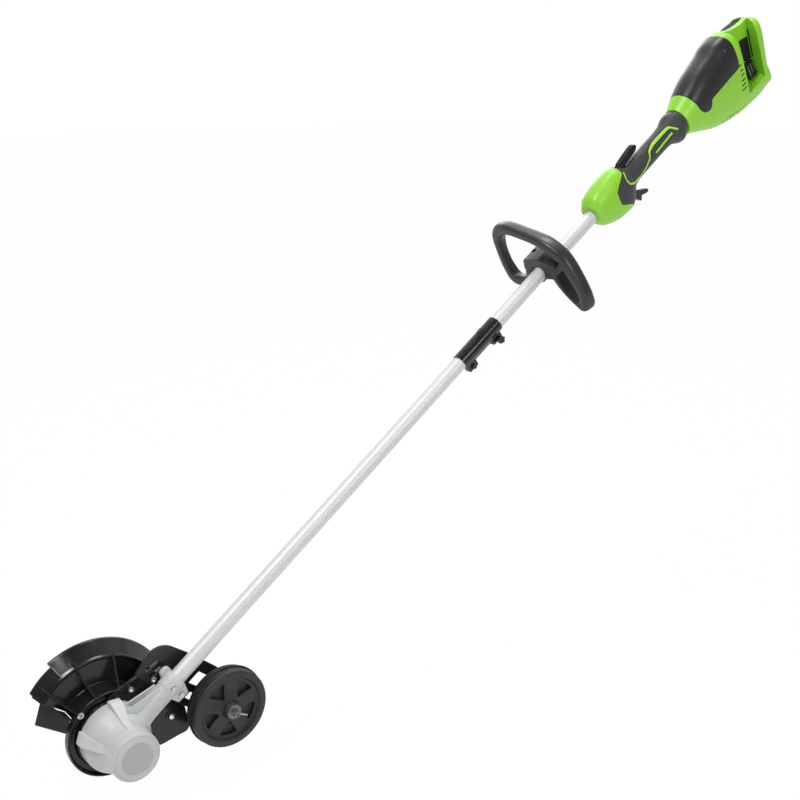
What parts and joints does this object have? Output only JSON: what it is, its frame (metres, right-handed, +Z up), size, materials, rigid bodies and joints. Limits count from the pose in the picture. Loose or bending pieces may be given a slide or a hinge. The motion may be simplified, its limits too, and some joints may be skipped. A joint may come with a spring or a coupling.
{
  "type": "cordless lawn edger",
  "caption": "Stick lawn edger with a rear power head and empty battery bay, jointed tube with assist loop, and a bevel-gear head with ribbed blade guard and guide wheel.",
  "frame": {"origin": "middle of the rear grip, on the shaft's axis", "axes": "+Z up as the tool is held in use, -Y forward to the blade, +X to the user's left; the shaft climbs towards +Y at 36 degrees"},
  "size_m": [0.204, 1.5379, 1.1512],
  "materials": {
    "green_plastic": "semi-gloss moulded plastic",
    "dark_plastic": "fine-textured moulded plastic",
    "black_plastic": "satin moulded plastic",
    "cast_alloy": "painted die casting",
    "satin_aluminium": "satin anodised",
    "bright_steel": "plated or ground steel",
    "painted_steel": "black powder coat",
    "black_rubber": "moulded rubber",
    "nylon": "natural nylon",
    "copper_winding": "wound copper on a steel core",
    "circuit_board": "lacquered board"
  },
  "bodies": {
    "tool_frame": {"battery_terminals": "black_plastic", "bearing_plate": "cast_alloy", "blade_guard": "black_plastic", "clamp_bolt": "bright_steel", "controller_board": "circuit_board", "coupler_bolt": "bright_steel", "coupler_sleeve": "black_plastic", "front_cover_left": "green_plastic", "front_cover_right": "green_plastic", "gear_case": "cast_alloy", "gear_case_cap": "cast_alloy", "grip_collar": "dark_plastic", "grip_left": "dark_plastic", "grip_right": "dark_plastic", "guard_flap": "black_rubber", "guard_rivet": "bright_steel", "guard_screw_1": "bright_steel", "guard_screw_2": "bright_steel", "guard_screw_3": "bright_steel", "housing_left": "green_plastic", "housing_right": "green_plastic", "locating_screw": "bright_steel", "lower_tube": "satin_aluminium", "motor_cover": "dark_plastic", "motor_plate_front": "cast_alloy", "motor_plate_rear": "cast_alloy", "motor_stator": "copper_winding", "pinion_bearing": "bright_steel", "shaft_bush_1": "nylon", "shaft_bush_2": "nylon", "spindle_bearing_inner": "bright_steel", "spindle_bearing_outer": "bright_steel", "trigger_switch": "black_plastic", "upper_tube": "satin_aluminium"},
    "blade_set": {"blade_spindle": "bright_steel", "crown_gear": "bright_steel", "inner_flange": "bright_steel", "outer_flange": "bright_steel", "blade_nut": "bright_steel", "edger_blade": "bright_steel"},
    "drive_line": {"pinion": "bright_steel", "lower_drive_shaft": "bright_steel", "shaft_socket": "bright_steel", "upper_drive_shaft": "bright_steel", "motor_rotor": "bright_steel", "cooling_fan": "black_plastic"},
    "depth_bracket": {"wheel_bracket": "painted_steel", "wheel_axle": "bright_steel", "axle_washer": "bright_steel", "split_pin": "bright_steel"},
    "wheel": {"guide_wheel": "black_rubber"},
    "throttle": {"trigger": "black_plastic"},
    "lockout": {"lockout_lever": "black_plastic"},
    "latch": {"battery_latch": "black_plastic"},
    "front_handle": {"assist_loop": "dark_plastic", "loop_clamp": "dark_plastic", "loop_bolt_left": "bright_steel", "loop_bolt_right": "bright_steel"},
    "clamp_knob": {"coupler_knob": "black_plastic"}
  },
  "joints": [
    {"name": "blade_spin", "type": "hinge", "parent": "tool_frame", "child": "blade_set", "pos_m": [0, -1.12858, -0.81996], "axis": [1, 0, 0], "continuous": true},
    {"name": "drive_spin", "type": "hinge", "parent": "tool_frame", "child": "drive_line", "pos_m": [0, -1.12858, -0.81996], "axis": [0, 0.809, 0.5878], "continuous": true},
    {"name": "wheel_depth", "type": "hinge", "parent": "tool_frame", "child": "depth_bracket", "pos_m": [-0.025, -1.05914, -0.75221], "axis": [1, 0, 0], "range_deg": [-6, 6]},
    {"name": "wheel_spin", "type": "hinge", "parent": "depth_bracket", "child": "wheel", "pos_m": [0.01575, -0.9565, -0.81607], "axis": [1, 0, 0], "continuous": true},
    {"name": "trigger_pull", "type": "hinge", "parent": "tool_frame", "child": "throttle", "pos_m": [0, -0.05724, -0.08114], "axis": [1, 0, 0], "range_deg": [0, 12], "stiffness_Nm_per_rad": 0.6, "springref_deg": -20.05},
    {"name": "lockout_press", "type": "hinge", "parent": "tool_frame", "child": "lockout", "pos_m": [0, -0.09295, -0.03539], "axis": [1, 0, 0], "range_deg": [-8, 0], "stiffness_Nm_per_rad": 0.5, "springref_deg": 17.19},
    {"name": "latch_press", "type": "hinge", "parent": "tool_frame", "child": "latch", "pos_m": [-0.01375, 0.20456, 0.20672], "axis": [1, 0, 0], "range_deg": [-5, 0], "stiffness_Nm_per_rad": 1, "springref_deg": 11.46},
    {"name": "loop_slide", "type": "slide", "parent": "tool_frame", "child": "front_handle", "axis": [0, 0.809, 0.5878], "range_m": [-0.08, 0.06]},
    {"name": "knob_turn", "type": "hinge", "parent": "tool_frame", "child": "clamp_knob", "pos_m": [0, -0.39165, -0.30989], "axis": [1, 0, 0], "range_deg": [-180, 180]}
  ],
  "couplings": [
    {"joint": "drive_spin", "follows": "blade_spin", "ratio": -2}
  ]
}
